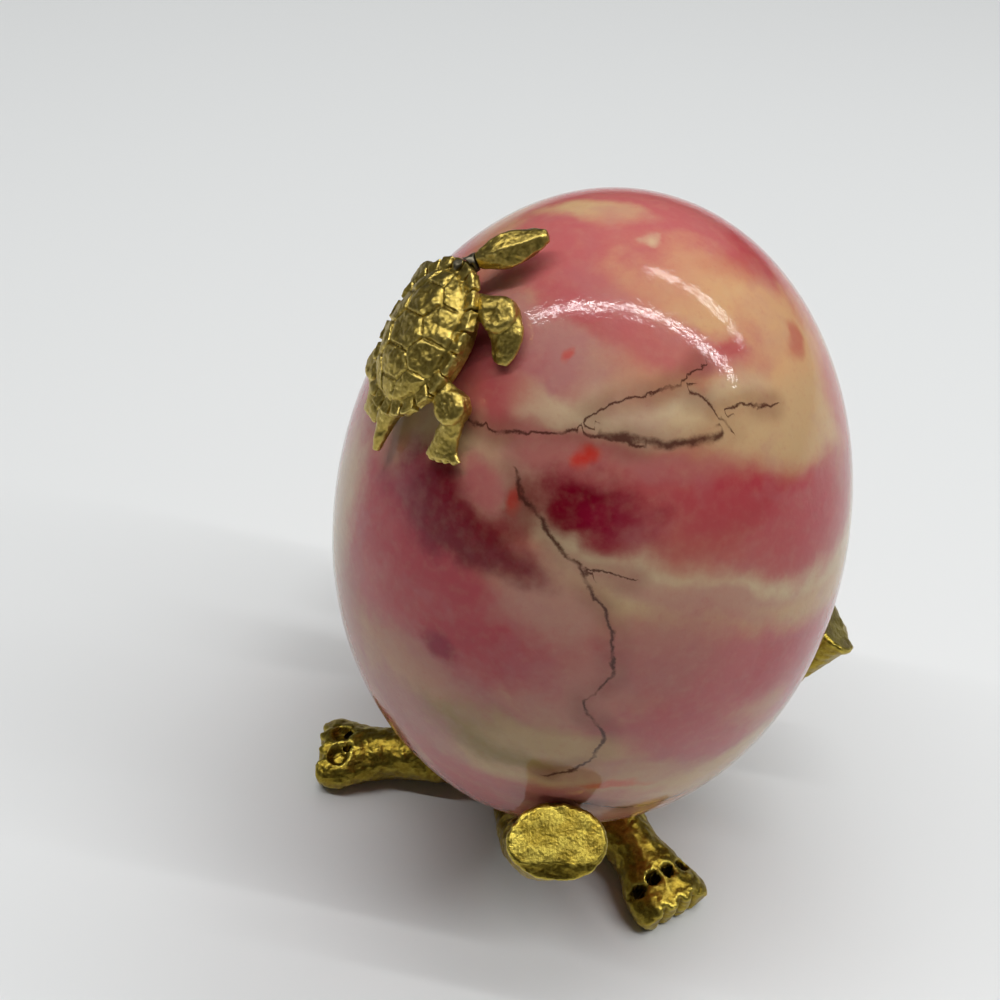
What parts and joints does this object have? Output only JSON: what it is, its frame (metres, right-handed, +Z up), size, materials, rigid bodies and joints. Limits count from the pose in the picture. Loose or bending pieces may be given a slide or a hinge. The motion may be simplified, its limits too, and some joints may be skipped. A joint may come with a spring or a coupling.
{
  "type": "decorative egg on stand",
  "caption": "Polished stone egg resting in a cast brass stand of bent, paw-footed legs, with a small brass turtle climbing on its upper side.",
  "frame": {"origin": "on the surface that the stand rests on, midway between the three paw feet", "axes": "+Z up, +X to the viewer's right, -Y towards the viewer; the front arm of the stand points to -Y"},
  "size_m": [0.0605, 0.0599, 0.0793],
  "materials": {
    "alabaster": "polished",
    "turtle_brass": "cast, worn bright on the high spots",
    "stand_brass": "rough cast, arm ends filed",
    "grey_solder": "dull soft solder",
    "braze": "rough",
    "adhesive": "matte"
  },
  "bodies": {
    "stand": {"leg_left": "stand_brass", "leg_right": "stand_brass", "leg_rear": "stand_brass", "leg_solder": "braze"},
    "egg_body": {"egg": "alabaster", "turtle_shell": "turtle_brass", "turtle_belly": "turtle_brass", "turtle_head": "turtle_brass", "neck_solder": "grey_solder", "turtle_tail": "turtle_brass", "front_flipper_right": "turtle_brass", "front_flipper_left": "turtle_brass", "rear_leg_right": "turtle_brass", "rear_leg_left": "turtle_brass", "glue_bed": "adhesive"}
  },
  "joints": [
    {"name": "egg_lift", "type": "slide", "parent": "stand", "child": "egg_body", "axis": [0, 0, 1], "range_m": [0, 0.05]}
  ]
}
